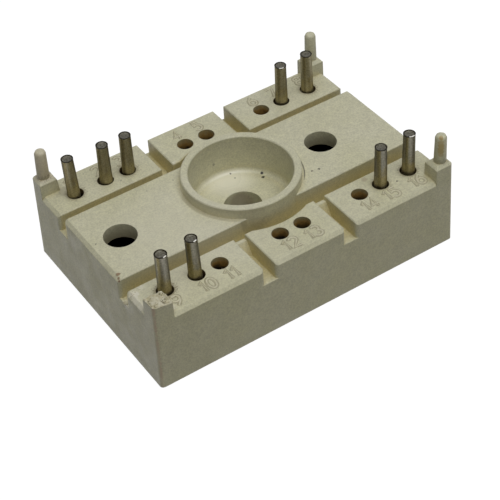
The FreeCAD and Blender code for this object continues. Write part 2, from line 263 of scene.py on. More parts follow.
class Coat(Nodes):
    """A material in the making: its coordinates in millimetres and the colour laid down so far."""

    def __init__(self, name: str, hex_code: str) -> None:
        """Start a material, with coordinates in millimetres, so that pattern scales are real sizes.

        Args:
            name: the material's name.
            hex_code: its first colour.
        """
        self.material = bpy.data.materials.new(name)
        super().__init__(self.material)
        place = self.add("TexCoord", {}).outputs["Object"]
        scale = (1 / MM, 1 / MM, 1 / MM)
        self.where = self.add("Mapping", {"Vector": place, "Scale": scale}).outputs["Vector"]
        self.ground: NodeSocket | tuple[float, ...] = linear(hex_code)

    def patches(
        self, size_mm: float, low: float, high: float, detail: float = 2.0, where: NodeSocket | None = None
    ) -> NodeSocket:
        """Give an uneven value between two limits, in patches of a real size.

        Args:
            size_mm: usual width of a patch.
            low: value of the darkest patches.
            high: value of the lightest patches.
            detail: how far the patches break up.
            where: coordinates in millimetres, if not the plain ones.

        Returns:
            The output with the value.
        """
        place = self.where if where is None else where
        pattern = {"Vector": place, "Scale": 1 / size_mm, "Detail": detail, "Roughness": 0.55}
        cloud = self.add("TexNoise", pattern).outputs["Fac"]
        limits = {"From Min": 0.3, "From Max": 0.7, "To Min": low, "To Max": high}
        return self.add("MapRange", {"Value": cloud, **limits}).outputs["Result"]

    def ragged_height(self, size_mm: float, spread: float, detail: float = 2.0) -> NodeSocket:
        """Give the height in millimetres, shifted up and down in patches.

        Args:
            size_mm: usual width of a patch.
            spread: how far the height is shifted, in millimetres.
            detail: how far the patches break up.

        Returns:
            The output with the height.
        """
        height = self.add("SeparateXYZ", {0: self.where}).outputs["Z"]
        shift = self.patches(size_mm, -spread, spread, detail)
        return self.add("Math", {0: height, 1: shift}, operation="ADD").outputs[0]

    def drawn_out(self, wide_mm: float, long_mm: float) -> NodeSocket:
        """Give coordinates that stretch a pattern of one width along Z to a given length."""
        stretch = (1.0, 1.0, wide_mm / long_mm)
        return self.add("Mapping", {"Vector": self.where, "Scale": stretch}).outputs["Vector"]

    def blend(self, mask: NodeSocket, under: object, over: object) -> NodeSocket:
        """Lay one colour over another where a mask is set.

        Args:
            mask: the output that says how much of the upper colour shows.
            under: the lower colour, as a value or an output.
            over: the upper colour, as a value or an output.

        Returns:
            The output with the blended colour.
        """
        return self.add("Mix", {"Factor": mask, 6: under, 7: over}, data_type="RGBA").outputs[2]

    def lay(self, mask: NodeSocket, hex_code: str) -> None:
        """Lay a colour over the colour so far, where a mask is set."""
        self.ground = self.blend(mask, self.ground, linear(hex_code))

    def shade(self, factor: NodeSocket) -> None:
        """Make the colour so far lighter or darker.

        Args:
            factor: the output that gives the varying factor.
        """
        colour = self.ground if isinstance(self.ground, NodeSocket) else self.ground[:3]
        product = self.add("VectorMath", {0: colour, "Scale": factor}, operation="SCALE")
        self.ground = product.outputs["Vector"]

    def spot(
        self,
        where: NodeSocket,
        middle: tuple[float, float, float],
        outer: float,
        inner: float,
        strength: float | NodeSocket,
    ) -> NodeSocket:
        """Mark a soft round spot.

        Args:
            where: coordinates in millimetres.
            middle: the spot's place.
            outer: the radius beyond which nothing of it shows.
            inner: the radius within which it has its full strength.
            strength: the full strength.

        Returns:
            The output with the mask.
        """
        away = self.add("VectorMath", {0: where, 1: middle}, operation="DISTANCE").outputs["Value"]
        limits = {"Value": away, "From Min": outer, "From Max": inner, "To Max": strength}
        return self.add("MapRange", limits, interpolation_type="SMOOTHSTEP").outputs["Result"]

    def marks(self, where: NodeSocket, marks: tuple[Mark | DirtRing, ...]) -> NodeSocket:
        """Join soft round marks into one mask.

        Args:
            where: coordinates in millimetres.
            marks: the marks to draw.

        Returns:
            The output with the mask, the strongest mark at each place.
        """
        total: NodeSocket | None = None
        for mark in marks:
            place = (mark.x, mark.y, mark.z)
            spot = self.spot(where, place, mark.outer, mark.inner, mark.strength)
            if total is not None:
                spot = self.add("Math", {0: total, 1: spot}, operation="MAXIMUM").outputs[0]
            total = spot
        return total

    def relief(
        self,
        grain_mm: float,
        height_mm: float,
        strength: float,
        detail: float = 2.0,
        where: NodeSocket | None = None,
        edge_mm: float = 0.0,
    ) -> NodeSocket:
        """Give the shading of a fine relief, on a body whose edges may be slightly rounded.

        Args:
            grain_mm: usual width of a grain.
            height_mm: the relief's depth.
            strength: how much of the relief shows.
            detail: how far the grains break up.
            where: coordinates in millimetres, if not the plain ones.
            edge_mm: how far the edges are rounded.

        Returns:
            The output with the normal.
        """
        place = self.where if where is None else where
        grain = self.add("TexNoise", {"Vector": place, "Scale": 1 / grain_mm, "Detail": detail})
        bump = {"Strength": strength, "Distance": height_mm * MM, "Height": grain.outputs["Fac"]}
        if edge_mm:
            bump["Normal"] = self.add("Bevel", {"Radius": edge_mm * MM}, samples=6).outputs["Normal"]
        return self.add("Bump", bump).outputs["Normal"]

    def finish(self, sockets: dict[str, object]) -> Material:
        """Close the material with a surface in the colour so far.

        Args:
            sockets: the surface's other inputs.

        Returns:
            The finished material.
        """
        surface = self.add("BsdfPrincipled", {"Base Color": self.ground, **sockets})
        self.add("OutputMaterial", {"Surface": surface.outputs["BSDF"]})
        return self.material


@dataclass(frozen=True)
class GlassFilledPolyester:
    """Glass-filled polyester, injection moulded, ivory and a little aged, with painted light and shade
    laid into its colour.
    """

    name: str = "glass_filled_polyester_moulded"
    ivory: str = "#CDCAAF"
    yellowed: str = "#C9C6A5"
    # Painted sheen: the pale colour laid on the bowl's floor as a painted reflection.
    painted_sheen: str = "#E8E5D0"
    # Painted shade: the tint laid where walls stand close together.
    painted_corner_shade: str = "#FFF5DA"
    worn: str = "#C2A794"
    # Torn whitish colour, also laid as a painted pool of light.
    torn: str = "#E4E0CE"
    # Near-black specks, also laid as a line of painted shade along the bowl's right foot.
    speck_and_shade: str = "#140F06"
    # Brown for stains, also laid as painted shade in the screw bore and as a pin's painted shadow.
    brown: str = "#7C5C3A"
    # Grime for the dirt rings, also laid as painted shade in the ports, along the bowl's foot and beside a
    # pin.
    grime_and_shade: str = "#7C7255"
    ochre: str = "#A8904E"
    corner_shade_mm: float = 3.0
    grain_mm: float = 0.2
    grain_height_mm: float = 0.014
    edge_mm: float = 0.12
    wander_mm: float = 0.2
    near_wander: tuple[float, float, float] = (0.3, 0.3, 0.3)
    far_wander: tuple[float, float, float] = (1.3, 1.3, 0.4)
    rubbed_foot: tuple[float, float, float] = (-20.14, -13.84, 0.0)
    rubbed_lean: tuple[float, float, float] = (-0.018, -0.0216, -1.0)
    rubbed_outer: float = 0.24
    rubbed_inner: float = 0.08
    floor_middle: tuple[float, float, float] = (1.0, 5.0, 5.6)
    floor_outer: float = 4.7
    floor_inner: float = 1.0
    floor_top: float = 7.1
    floor_full: float = 6.6

    def age(self, coat: Coat) -> None:
        """Paint warm shade into the colour where walls stand close together, from ambient occlusion.

        Args:
            coat: the material in the making.
        """
        reach = {"Distance": self.corner_shade_mm * MM}
        corner_occlusion = coat.add("AmbientOcclusion", reach, samples=8, only_local=True)
        limits = {"Value": corner_occlusion.outputs["AO"], "From Min": 0.3, "From Max": 0.72}
        open_share = coat.add("MapRange", limits).outputs["Result"]
        shade_tint = coat.blend(open_share, linear(self.painted_corner_shade), linear("#FFFFFF"))
        product = coat.add("VectorMath", {0: coat.ground, 1: shade_tint}, operation="MULTIPLY")
        coat.ground = product.outputs["Vector"]

    def rubbed(self, coat: Coat, where: NodeSocket) -> NodeSocket:
        """Mark the upright front left edge, where the skin is rubbed off.

        Args:
            coat: the material in the making.
            where: uneven coordinates in millimetres.

        Returns:
            The output with the mask.
        """
        height = coat.add("SeparateXYZ", {0: where}).outputs["Z"]
        slant = coat.add("VectorMath", {0: self.rubbed_lean, "Scale": height}, operation="SCALE")
        flat = coat.add("VectorMath", {0: where, 1: slant.outputs["Vector"]}, operation="ADD")
        strength = coat.patches(0.9, 0.1, 0.75, 3.0, where)
        place = flat.outputs["Vector"]
        return coat.spot(place, self.rubbed_foot, self.rubbed_outer, self.rubbed_inner, strength)

    def foot_shade(self, coat: Coat, line: FootShade) -> NodeSocket:
        """Mark a line of painted shade along a part of the bowl's foot.

        Args:
            coat: the material in the making.
            line: the line's place and width.

        Returns:
            The output with the mask.
        """
        away = coat.add("VectorMath", {0: coat.where, 1: line.centre}, operation="DISTANCE")
        off = coat.add("Math", {0: away.outputs["Value"], 1: line.radius}, operation="SUBTRACT")
        distance = coat.add("Math", {0: off.outputs[0]}, operation="ABSOLUTE").outputs[0]
        full = line.reach - line.fading
        strength = coat.spot(coat.where, line.middle, line.reach, full, line.strength)
        core = line.half_width * line.core_share
        limits = {"Value": distance, "From Min": line.half_width, "From Max": core, "To Max": strength}
        return coat.add("MapRange", limits, interpolation_type="SMOOTHSTEP").outputs["Result"]

    def smooth_floor_sheen(self, coat: Coat) -> NodeSocket:
        """Tell how smooth the skin is on the bowl's floor, which also gets a pale painted sheen there.

        Args:
            coat: the material in the making.

        Returns:
            The output, one in the middle of the smooth floor with its painted sheen and nought outside the
            bowl.
        """
        height = coat.add("SeparateXYZ", {0: coat.where}).outputs["Z"]
        limits = {"Value": height, "From Min": self.floor_top, "From Max": self.floor_full}
        inside = coat.add("MapRange", limits).outputs["Result"]
        return coat.spot(coat.where, self.floor_middle, self.floor_outer, self.floor_inner, inside)

    def wandering(self, coat: Coat) -> tuple[NodeSocket, NodeSocket]:
        """Shift the coordinates about, so that marks get ragged outlines.

        Args:
            coat: the material in the making.

        Returns:
            The outputs with slightly and with strongly shifted coordinates.
        """
        swirl = coat.add("TexNoise", {"Vector": coat.where, "Scale": 1 / self.wander_mm, "Detail": 2.0})
        halves = {0: swirl.outputs["Color"], 1: (0.5, 0.5, 0.5)}
        centred = coat.add("VectorMath", halves, operation="SUBTRACT").outputs["Vector"]
        shifted = []
        for reach in (self.near_wander, self.far_wander):
            terms = {0: centred, 1: reach, 2: coat.where}
            shifted.append(coat.add("VectorMath", terms, operation="MULTIPLY_ADD").outputs["Vector"])
        return shifted[0], shifted[1]

    def build(self) -> Material:
        """Build the dull ivory moulding with its grain, cloudiness, specks and grime, and with painted
        shade, shadows, sheen and a pool of light.

        Returns:
            The finished material.
        """
        # The glass fibre keeps it dull: soft wide highlights, a grain like fine eggshell, faint clouds.
        coat = Coat(self.name, self.ivory)
        coat.lay(coat.patches(7.0, 0.0, 1.0), self.yellowed)
        coat.shade(coat.patches(1.3, 0.95, 1.04))
        coat.shade(coat.patches(0.45, 0.95, 1.05))
        coat.shade(coat.patches(self.grain_mm, 0.89, 1.11, 1.0))
        # Painted shade: warmer and darker where walls stand close together.
        self.age(coat)
        # Painted sheen: the bowl's floor is laid paler as a painted reflection, and the same mask makes it
        # glossier.
        smooth = self.smooth_floor_sheen(coat)
        sheen_cover = coat.add("Math", {0: smooth, 1: 0.9}, operation="MULTIPLY").outputs[0]
        coat.lay(sheen_cover, self.painted_sheen)
        near, far = self.wandering(coat)
        coat.lay(coat.marks(far, TORN_MARKS), self.torn)
        # Painted shade in the ports and a painted pin shadow, in the grime colour.
        coat.lay(coat.marks(coat.where, PAINTED_PORT_AND_PIN_SHADE), self.grime_and_shade)
        # A painted pool of light over the front left, laid in the torn colour.
        coat.lay(coat.marks(coat.where, PAINTED_LIGHT_POOL), self.torn)
        coat.lay(coat.marks(coat.where, WARM_MARKS), self.worn)
        coat.lay(coat.marks(near, OCHRE_MARKS), self.ochre)
        # Painted shade along the bowl's foot: on the left and front in the grime colour, on the right in
        # the speck colour.
        coat.lay(self.foot_shade(coat, LEFT_FOOT), self.grime_and_shade)
        coat.lay(self.foot_shade(coat, RIGHT_FOOT), self.speck_and_shade)
        coat.lay(coat.marks(far, DIRT_RINGS), self.grime_and_shade)
        coat.lay(self.rubbed(coat, near), self.worn)
        # Brown stains, with a painted pin shadow and painted shade in the screw bore.
        coat.lay(coat.marks(near, BROWN_STAINS_AND_SHADE), self.brown)
        coat.lay(coat.marks(near, DARK_SPECKS), self.speck_and_shade)
        gloss = {"Value": smooth, "To Min": coat.patches(1.6, 0.4, 0.54), "To Max": 0.24}
        rough = coat.add("MapRange", gloss).outputs["Result"]
        normal = coat.relief(self.grain_mm, self.grain_height_mm, 0.6, edge_mm=self.edge_mm)
        return coat.finish({"Roughness": rough, "IOR": 1.5, "Normal": normal})


@dataclass(frozen=True)
class SnappedPolyester:
    """The same polyester where it has snapped: torn, whitish, with glass fibre ends."""

    name: str = "glass_filled_polyester_snapped"
    pale: str = "#DCD8C2"
    shade: str = "#B4AC8A"
    grain_mm: float = 0.25
    grain_height_mm: float = 0.08

    def build(self) -> Material:
        """Build the torn surface.

        Returns:
            The finished material.
        """
        # Stress whitening makes it paler than the skin, and the torn grain breaks it into small shades.
        coat = Coat(self.name, self.shade)
        coat.lay(coat.patches(0.45, 0.0, 1.0, 3.0), self.pale)
        normal = coat.relief(self.grain_mm, self.grain_height_mm, 0.9, 4.0)
        return coat.finish({"Roughness": 0.85, "IOR": 1.55, "Normal": normal})


@dataclass(frozen=True)
class DullMetal:
    """A worked metal surface with drawn streaks and clouds of oxide."""

    name: str
    bright: str
    dull: str
    roughness_low: float
    roughness_high: float
    cloud_mm: float
    streak_mm: float
    streak_length_mm: float
    relief_mm: float

    def build(self) -> Material:
        """Build the metal with its oxide clouds and its streaks along Z.

        Returns:
            The finished material.
        """
        coat = Coat(self.name, self.bright)
        coat.lay(coat.patches(self.cloud_mm, 0.0, 1.0, 3.0), self.dull)
        drawn = coat.drawn_out(self.streak_mm, self.streak_length_mm)
        coat.shade(coat.patches(self.streak_mm, 0.86, 1.1, where=drawn))
        rough = coat.patches(self.cloud_mm * 0.7, self.roughness_low, self.roughness_high)
        normal = coat.relief(self.streak_mm, self.relief_mm, 0.6, where=drawn)
        return coat.finish({"Metallic": 1.0, "Roughness": rough, "Normal": normal})


@dataclass(frozen=True)
class AgedTin:
    """Tin plate on a copper pin, gone grey and olive, with a painted dark band of shade down one side and
    a dull foot.
    """

    name: str = "tin_plate_aged"
    grey: str = "#888579"
    olive: str = "#9A906E"
    # The colour of the painted shade band down one side.
    dark: str = "#7D7452"
    edge: str = "#8F8D83"
    shaded_side: tuple[float, float, float] = (-0.857, 0.515, 0.0)
    shade_turn: float = 0.42
    shade_outer: float = 0.36
    shade_inner: float = 0.08
    foot_top_mm: float = 12.6
    foot_full_mm: float = 10.4
    streak_mm: float = 0.22
    streak_length_mm: float = 4.0
    pit_mm: float = 1 / 7
    pit_depth_mm: float = 0.007

    def paint_side_band(self, coat: Coat, drawn: NodeSocket) -> NodeSocket:
        """Mark a ragged lengthwise band of painted shade, on the side that faces one way.

        Args:
            coat: the material in the making.
            drawn: coordinates that stretch patterns lengthwise.

        Returns:
            The output with the mask.
        """
        wander = coat.patches(self.streak_mm * 3, -0.16, 0.16, where=drawn)
        facing = coat.add("NewGeometry", {}).outputs["Normal"]
        side = coat.add("VectorMath", {0: facing, 1: self.shaded_side}, operation="DOT_PRODUCT")
        turned = coat.add("Math", {0: side.outputs["Value"], 1: wander}, operation="ADD")
        off = coat.add("Math", {0: turned.outputs[0], 1: self.shade_turn}, operation="SUBTRACT")
        distance = coat.add("Math", {0: off.outputs[0]}, operation="ABSOLUTE").outputs[0]
        limits = {"From Min": self.shade_outer, "From Max": self.shade_inner, "To Max": 0.85}
        painted_side_band = coat.add("MapRange", {"Value": distance, **limits}, interpolation_type="SMOOTHSTEP")
        return painted_side_band.outputs["Result"]

    def build(self) -> Material:
        """Build the plating: a cool grey face, a dark olive band of painted shade on one side, an olive
        foot.

        Returns:
            The finished material.
        """
        # The eye gets a dull metal that is dark at its edges, the dark band on one side being painted
        # shade, with lengthwise stains and fine mottling.
        coat = Coat(self.name, self.grey)
        drawn = coat.drawn_out(self.streak_mm, self.streak_length_mm)
        painted_side_band = self.paint_side_band(coat, drawn)
        level = coat.ragged_height(0.8, 0.9, 3.0)
        limits = {"Value": level, "From Min": self.foot_top_mm, "From Max": self.foot_full_mm}
        foot = coat.add("MapRange", limits, interpolation_type="SMOOTHSTEP").outputs["Result"]
        coat.lay(foot, self.olive)
        # Painted shade: a dark band down one side of the pin.
        coat.lay(painted_side_band, self.dark)
        coat.shade(coat.patches(self.streak_mm, 0.88, 1.1, where=drawn))
        coat.shade(coat.patches(0.16, 0.7, 1.3, 3.0))
        rough = coat.patches(0.5, 0.34, 0.52)
        normal = coat.relief(self.pit_mm, self.pit_depth_mm, 0.7, 3.0)
        tint = linear(self.edge)
        return coat.finish({"Metallic": 1.0, "Roughness": rough, "Specular Tint": tint, "Normal": normal})


@dataclass(frozen=True)
class BrownedHole:
    """The polyester in a pin hole: olive at the mouth, brown below, painted dark towards the bottom as
    painted shade.
    """

    name: str = "polyester_hole_browned_painted_shade"
    olive: str = "#A8A07A"
    brown: str = "#AE8A48"
    # Painted shade at the bottom of the hole.
    painted_deep_shade: str = "#1A1208"
    deep_mm: float = 8.0
    mouth_mm: float = 9.75
    browned_run: float = 0.8
    dark_start: float = 0.5

    def build(self) -> Material:
        """Build the stained wall, with painted shade that darkens it with depth.

        Returns:
            The finished material.
        """
        # The eye gets a matt wall that turns from the moulding's colour to a burnt brown shadow.
        coat = Coat(self.name, self.olive)
        level = coat.ragged_height(0.7, 0.25)
        limits = {"Value": level, "From Min": self.mouth_mm, "From Max": self.mouth_mm - self.browned_run}
        coat.lay(coat.add("MapRange", limits).outputs["Result"], self.brown)
        coat.shade(coat.patches(0.2, 0.82, 1.15, 3.0))
        # Painted shade: darker with depth, down to near black.
        limits = {"Value": level, "From Min": self.mouth_mm - self.dark_start, "From Max": self.deep_mm}
        depth = coat.add("MapRange", limits, interpolation_type="SMOOTHSTEP").outputs["Result"]
        coat.lay(depth, self.painted_deep_shade)
        return coat.finish({"Roughness": coat.patches(0.4, 0.5, 0.7), "IOR": 1.5})


@dataclass(frozen=True)
class DullBody:
    """A fired, cast or cured surface that isn't metal."""

    name: str
    light: str
    dark: str
    roughness_low: float
    roughness_high: float
    cloud_mm: float
    grain_mm: float
    relief_mm: float
    ior: float

    def build(self) -> Material:
        """Build the body with its clouds and its grain.

        Returns:
            The finished material.
        """
        coat = Coat(self.name, self.dark)
        coat.lay(coat.patches(self.cloud_mm, 0.0, 1.0), self.light)
        rough = coat.patches(self.cloud_mm * 0.5, self.roughness_low, self.roughness_high)
        normal = coat.relief(self.grain_mm, self.relief_mm, 0.5)
        return coat.finish({"Roughness": rough, "IOR": self.ior, "Normal": normal})


# Sheared pin end: grey, mottled, a little rough.
SHEARED_END = DullMetal("pin_end_sheared", "#6E6C62", "#3A362B", 0.35, 0.55, 0.2, 0.1, 0.1, 0.02)
# Rolled-over rim of the pin end: painted almost black, a painted dark reflection round the tip.
PAINTED_DARK_RIM = DullMetal("pin_rim_painted_dark", "#2E2A20", "#1A1710", 0.4, 0.6, 0.3, 0.1, 0.2, 0.01)
# Bright burr: bare tin that catches the light.
BARE_BURR = DullMetal("pin_burr_bare", "#F4F2EC", "#D2CFC4", 0.12, 0.25, 0.2, 0.1, 0.2, 0.005)
# Etched copper on ceramic: pinkish, nearly matt, with slow clouds of tarnish.
ETCHED_COPPER = DullMetal("copper_etched", "#C98B6B", "#A8684A", 0.3, 0.48, 3.0, 0.3, 0.6, 0.004)
# Reflowed solder: light grey and satin, with soft frosty patches.
REFLOWED_SOLDER = DullMetal("solder_reflowed", "#B9B9B4", "#96968F", 0.25, 0.42, 0.5, 0.2, 0.4, 0.01)
# Rolled aluminium ribbon: pale and satin, with fine rolling lines.
ROLLED_ALUMINIUM = DullMetal("aluminium_rolled", "#CFCFCB", "#B4B4AE", 0.25, 0.38, 0.8, 0.1, 1.5, 0.003)
# Top of a moulded rib: the same polyester, painted a little paler as a painted highlight on the raised
# strokes.
PAINTED_LIT_RIB = DullBody("polyester_rib_painted_highlight", "#D6D2B9", "#C8C3A5", 0.45, 0.6, 0.5, 0.2, 0.01, 1.5)
# Grime and painted shade in the corner between rib and deck: grey-brown and dull.
CORNER_GRIME_AND_SHADE = DullBody("grime_and_painted_shade_in_corners", "#B9B498", "#A39D82", 0.7, 0.85, 0.4, 0.15, 0.01, 1.45)
# Fired alumina: white with a warm cast, smooth, a very fine pitted grain.
FIRED_ALUMINA = DullBody("alumina_fired", "#EAE8DF", "#DAD7CB", 0.42, 0.55, 2.5, 0.12, 0.004, 1.76)
# Passivated silicon: almost black with a grey sheen.
SILICON_CHIP = DullBody("silicon_passivated", "#3A3A40", "#242428", 0.18, 0.3, 1.5, 0.2, 0.002, 1.9)
# Cured silicone bead: light grey, rubbery, slightly lumpy.
SILICONE_BEAD = DullBody("silicone_bead_cured", "#9A9992", "#83827B", 0.5, 0.62, 1.4, 0.4, 0.02, 1.41)
# Silicone gel over the circuit, painted almost black as painted shade inside the module: it shows only as
# a wet black floor.
SILICONE_GEL_PAINTED_DARK = DullBody("silicone_gel_painted_dark", "#161310", "#0C0A08", 0.1, 0.2, 2.0, 0.8, 0.01, 1.41)


def dress(piece: Object, *materials: Material) -> None:
    """Give a piece its materials, in the order of its material numbers.

    Args:
        piece: the mesh object.
        materials: the finished materials.
    """
    # Clearing also resets the faces' material numbers, so a new mesh isn't cleared.
    if piece.data.materials:
        piece.data.materials.clear()
    for material in materials:
        piece.data.materials.append(material)


def placed(name: str, data: object) -> Object:
    """Put a mesh, curve, lamp or camera into the scene.

    Args:
        name: the object's name.
        data: what the object shows; a bmesh is turned into a mesh and freed.

    Returns:
        The object.
    """
    if isinstance(data, BMesh):
        mesh = bpy.data.meshes.new(name)
        data.to_mesh(mesh)
        data.free()
        data = mesh
    holder = bpy.data.objects.new(name, data)
    bpy.context.scene.collection.objects.link(holder)
    return holder


def merged_copy(node: Object) -> BMesh:
    """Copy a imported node's mesh and join its loose triangles.

    Args:
        node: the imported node's object.

    Returns:
        A bmesh with merged vertices and flat faces in one piece.
    """
    shape = bmesh.new()
    shape.from_mesh(node.data)
    bmesh.ops.remove_doubles(shape, verts=shape.verts, dist=0.0015 * MM)
    bmesh.ops.dissolve_limit(
        shape,
        angle_limit=math.radians(0.4),
        use_dissolve_boundaries=False,
        verts=shape.verts,
        edges=shape.edges,
    )
    return shape


def crease(shape: BMesh, sharp_deg: float, rounds: tuple[Round, ...] = ()) -> None:
    """Shade a shape smooth, but for its sharp edges outside its round zones.

    Args:
        shape: the bmesh.
        sharp_deg: edges bent by more than this are sharp.
        rounds: the zones that stay smooth.
    """
    limit = math.radians(sharp_deg)
    for face in shape.faces:
        face.smooth = True
    for edge in shape.edges:
        middle = (edge.verts[0].co + edge.verts[1].co) / 2
        rounded = any(zone.holds(middle) for zone in rounds)
        edge.smooth = rounded or edge.calc_face_angle(0.0) < limit


def finished_piece(shape: BMesh, name: str, slot: Slot, *materials: Material) -> Object:
    """Turn a creased bmesh into a piece that rides on the body.

    Args:
        shape: the finished bmesh, which is freed.
        name: the piece's name.
        slot: not used.
        materials: the piece's materials.

    Returns:
        The piece.
    """
    piece = placed(name, shape)
    dress(piece, *materials)
    weights = piece.modifiers.new("even_shading", "WEIGHTED_NORMAL")
    weights.keep_sharp = True
    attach(piece, "root")
    return piece


@dataclass(frozen=True)
class Post:
    """A locating post's place and how far its tip leans along X, in millimetres."""

    x: float
    y: float
    lean: float = 0.0


PIN_COLUMNS = (-16.5, -12.5, -9.5, -1.5, 1.5, 9.5, 12.5, 16.5)
PIN_ROW = 10.0
FIBRE_SHIFT = Vector((4.0, 9.0, 2.0))
# The pins are numbered along the back row and then along the front row, each from the left.
FITTED_NUMBERS = (1, 2, 3, 7, 8, 9, 10, 15, 16)
FITTED = {(PIN_COLUMNS[(n - 1) % 8], PIN_ROW if n <= 8 else -PIN_ROW) for n in FITTED_NUMBERS}
POSTS = (Post(-18.95, 12.7, 0.14), Post(18.95, 12.7), Post(18.95, -12.7))
BOWL_FLOOR_CORNER = Round(0.0, 0.0, 6.25, 6.45, 7.3)
ROUND_ZONES = (BOWL_FLOOR_CORNER, *(Round(post.x, post.y, 1.2, 14.9, 15.6) for post in POSTS))


@dataclass
class MouldedHousing:
    """The moulding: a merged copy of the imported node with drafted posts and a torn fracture."""

    node: Object
    stub_inner_x: float = -17.6
    stub_inner_y: float = -11.55
    stub_above: float = 11.3
    tear_upward: float = 0.3
    tear_cuts: int = 11
    tear_depth: float = 0.45
    tear_width: float = 0.55
    rim_share: float = 0.3
    fibre_scale: float = 2.7
    fibre_share: float = 0.5
    tear_slope: float = 0.28
    tear_slope_x: float = 19.0
    tear_slope_y: float = 13.0
    post_reach: float = 0.9
    post_foot: float = 11.85
    post_top: float = 15.55
    foot_share: float = 1.1
    top_share: float = 1.0
    hole_low: float = 6.1
    hole_high: float = 9.7
    hole_reach: float = 1.25
    hole_share: float = 0.945
    shoulder_x: float = -17.5
    shoulder_y: float = 11.3
    shoulder_wide: float = 0.6
    shoulder_low: float = 11.2
    shoulder_mid: float = 11.65
    shoulder_out: float = 0.15
    shoulder_top_out: float = 0.05
    left_side: float = -20.0
    left_foot_top: float = 1.0
    left_foot_out: float = 0.09
    slot_x: float = 5.45
    slot_half: float = 0.8
    web_front: float = -8.1
    web_foot_top: float = 7.6
    web_slope: float = 1.0

    def taper(self, shape: BMesh) -> None:
        """Draft the posts as the mould leaves them, and lean the one that is bent.

        Args:
            shape: the merged housing.
        """
        for post in POSTS:
            for point in shape.verts:
                away = Vector((point.co.x - post.x * MM, point.co.y - post.y * MM))
                if point.co.z < self.post_foot * MM or away.length > self.post_reach * MM:
                    continue
                climb = (point.co.z / MM - self.post_foot) / (self.post_top - self.post_foot)
                share = self.foot_share + (self.top_share - self.foot_share) * climb
                point.co.x = (post.x + post.lean * climb * climb) * MM + away.x * share
                point.co.y = post.y * MM + away.y * share

    def tear(self, shape: BMesh) -> None:
        """Roughen the top of the corner block whose post has snapped off.

        Args:
            shape: the merged housing.
        """
        torn = []
        for face in shape.faces:
            middle = face.calc_center_median()
            inside = middle.x < self.stub_inner_x * MM and middle.y < self.stub_inner_y * MM
            if inside and middle.z > self.stub_above * MM and face.normal.z > self.tear_upward:
                torn.append(face)
        edges = list({edge for face in torn for edge in face.edges})
        split = bmesh.ops.subdivide_edges(shape, edges=edges, cuts=self.tear_cuts, use_grid_fill=True)
        fine = [item for item in split["geom"] if isinstance(item, BMFace)]
        faces = {face for face in fine if face.is_valid and face.normal.z > self.tear_upward}
        faces |= {face for face in torn if face.is_valid}
        points = {point for face in faces for point in face.verts}
        rim = {point for point in points if any(face not in faces for face in point.link_faces)}
        for point in points:
            where = point.co / (self.tear_width * MM)
            coarse = noise.noise(where)
            fibre = noise.noise(where * self.fibre_scale + FIBRE_SHIFT)
            share = self.rim_share if point in rim else 1.0
            back = max(0.0, point.co.y / MM + self.tear_slope_y)
            right = max(0.0, point.co.x / MM + self.tear_slope_x)
            fall = self.tear_slope * (back + 0.5 * right)
            point.co.z += ((coarse + self.fibre_share * fibre) * self.tear_depth * share - fall) * MM
        for face in faces:
            face.material_index = 1

    def mark_holes(self, shape: BMesh) -> None:
        """Give the walls of the pin holes their material numbers, one if empty and one if fitted.

        Args:
            shape: the merged housing.
        """
        for face in shape.faces:
            middle = face.calc_center_median()
            if abs(face.normal.z) > 0.1 or not self.hole_low * MM < middle.z < self.hole_high * MM:
                continue
            for column in PIN_COLUMNS:
                away = math.hypot(middle.x - column * MM, abs(middle.y) - PIN_ROW * MM)
                if away < self.hole_reach * MM:
                    fitted = (column, math.copysign(PIN_ROW, middle.y)) in FITTED
                    face.material_index = 3 if fitted else 2

    def shrink(self, shape: BMesh) -> None:
        """Draw in the pin holes' mouths and slope the back left shoulder, the webs and the left foot.

        Args:
            shape: the merged housing.
        """
        for point in shape.verts:
            if point.co.x < self.left_side * MM and point.co.z < self.left_foot_top * MM:
                point.co.x -= self.left_foot_out * MM
            if point.co.z < self.hole_low * MM:
                continue
            at_web = abs(point.co.y / MM - self.web_front) < 0.05 and point.co.z < self.web_foot_top * MM
            if at_web and abs(abs(point.co.x / MM) - self.slot_x) < self.slot_half:
                point.co.y -= self.web_slope * MM
            row = math.copysign(PIN_ROW * MM, point.co.y)
            for column in PIN_COLUMNS:
                off_x = point.co.x - column * MM
                off_y = point.co.y - row
                if math.hypot(off_x, off_y) < self.hole_reach * MM:
                    point.co.x = column * MM + off_x * self.hole_share
                    point.co.y = row + off_y * self.hole_share
            beside = self.shoulder_x - self.shoulder_wide < point.co.x / MM < self.shoulder_x
            if beside and point.co.y > self.shoulder_y * MM and point.co.z > self.shoulder_low * MM:
                lower = point.co.z < self.shoulder_mid * MM
                point.co.x -= (self.shoulder_out if lower else self.shoulder_top_out) * MM

    def build(self, plastic: Material, snapped: Material, hole: Material, flux: Material) -> Object:
        """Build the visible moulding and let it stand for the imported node.

        Args:
            plastic: the moulding's skin.
            snapped: the torn surface.
            hole: the walls of the empty pin holes.
            flux: the walls round the fitted pins.

        Returns:
            The piece.
        """
        shape = merged_copy(self.node)
        self.mark_holes(shape)
        self.shrink(shape)
        self.taper(shape)
        self.tear(shape)
        crease(shape, 31.0, ROUND_ZONES)
        piece = finished_piece(shape, "moulded_housing", Slot.PLASTIC, plastic, snapped, hole, flux)
        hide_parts("housing")
        return piece


@dataclass(frozen=True)
class Litter:
    """A patch of torn crumbs: its middle, its spread and how many crumbs it has, in millimetres."""

    x: float
    y: float
    z: float
    spread_x: float
    spread_y: float
    count: int
    wide: float


